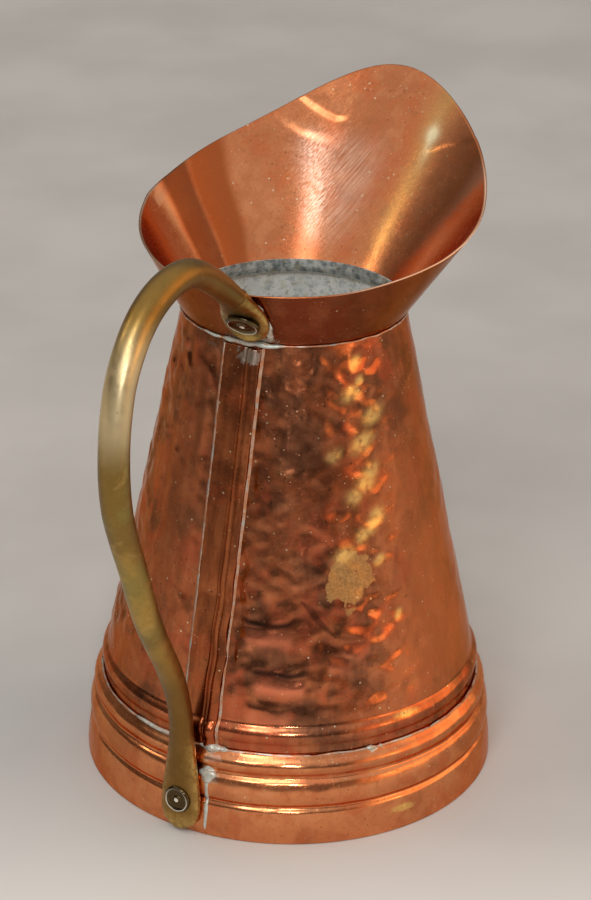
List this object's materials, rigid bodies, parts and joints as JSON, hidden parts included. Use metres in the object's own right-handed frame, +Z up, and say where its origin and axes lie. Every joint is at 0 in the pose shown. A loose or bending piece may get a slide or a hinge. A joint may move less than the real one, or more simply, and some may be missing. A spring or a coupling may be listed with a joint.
{
  "type": "water jug",
  "caption": "Tapered hammered copper water jug with a flared pouring collar, a beaded foot band and a riveted brass strap handle.",
  "frame": {"origin": "on the jug's own axis, in the plane its foot band stands on", "axes": "+Z up along the jug's axis, +X towards the spout, the handle at -X"},
  "size_m": [0.1907, 0.1304, 0.2053],
  "materials": {
    "hammered_copper": "hammered, dark red-brown patina",
    "plain_copper": "plain, dull",
    "foot_copper": "smooth rolled sheet, worn shine",
    "collar_copper": "smooth rolled sheet, brushed inside",
    "strap_copper": "plain, dull",
    "tinned_copper": "dull tinning",
    "handle_brass": "satin, olive patina",
    "rivet_brass": "worn",
    "solder": "dull soft solder"
  },
  "bodies": {
    "root": {"body_shell": "hammered_copper", "bottom_disc": "plain_copper", "foot_band": "foot_copper", "collar": "collar_copper", "neck_ring": "tinned_copper", "seam_strap": "strap_copper", "handle": "handle_brass", "upper_rivet": "rivet_brass", "lower_rivet": "rivet_brass", "upper_rivet_rove": "plain_copper", "lower_rivet_rove": "plain_copper", "neck_solder": "solder", "foot_solder": "solder", "bottom_solder": "solder", "neck_ring_solder": "solder", "seam_solder_left": "solder", "seam_solder_right": "solder", "foot_seam_solder": "solder", "collar_seam_solder": "solder"}
  },
  "joints": []
}
